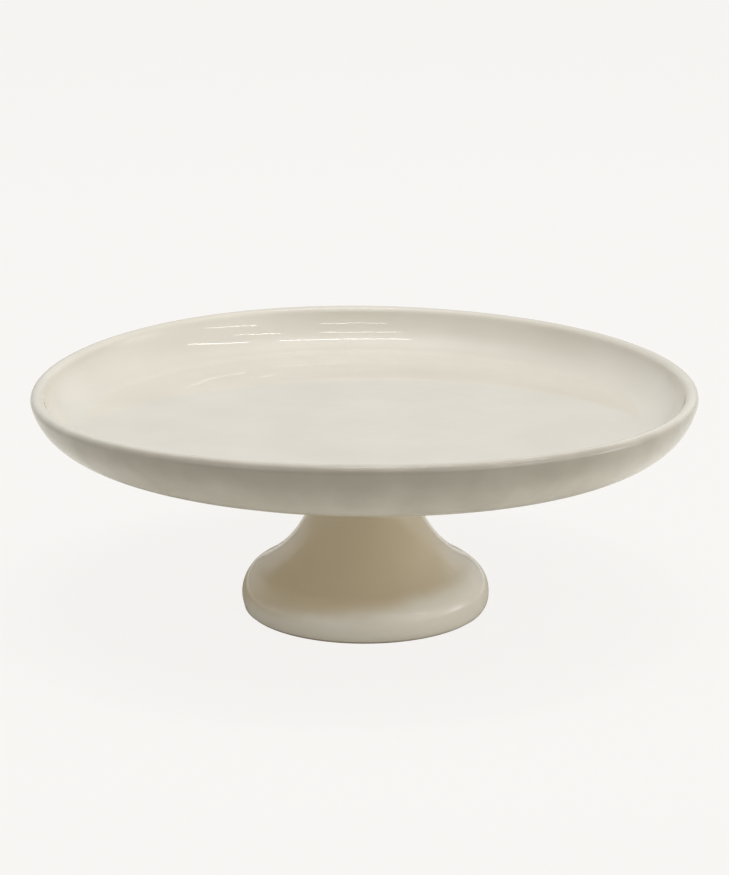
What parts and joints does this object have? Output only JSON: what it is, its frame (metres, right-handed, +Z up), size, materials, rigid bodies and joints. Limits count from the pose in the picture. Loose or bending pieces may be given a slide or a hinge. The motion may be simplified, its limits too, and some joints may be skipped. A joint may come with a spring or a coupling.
{
  "type": "cake stand",
  "caption": "Footed cake stand: a round, shallow stoneware plate with an upturned rim on a hollow trumpet pedestal, joined with slip.",
  "frame": {"origin": "on the table, at the centre of the pedestal's foot", "axes": "+Z up along the stand's axis; the stand is round, so +X and +Y are any two level directions"},
  "size_m": [0.3, 0.3, 0.107],
  "materials": {
    "plate_glaze": "glossy cream glaze over stoneware, slightly rippled by hand throwing",
    "pedestal_glaze": "glossy cream glaze, a little thicker and warmer than on the plate",
    "fired_slip": "matte fired clay slip"
  },
  "bodies": {
    "root": {"plate": "plate_glaze", "pedestal": "pedestal_glaze", "joining_slip": "fired_slip", "inner_coil": "pedestal_glaze", "outer_coil": "pedestal_glaze"}
  },
  "joints": []
}
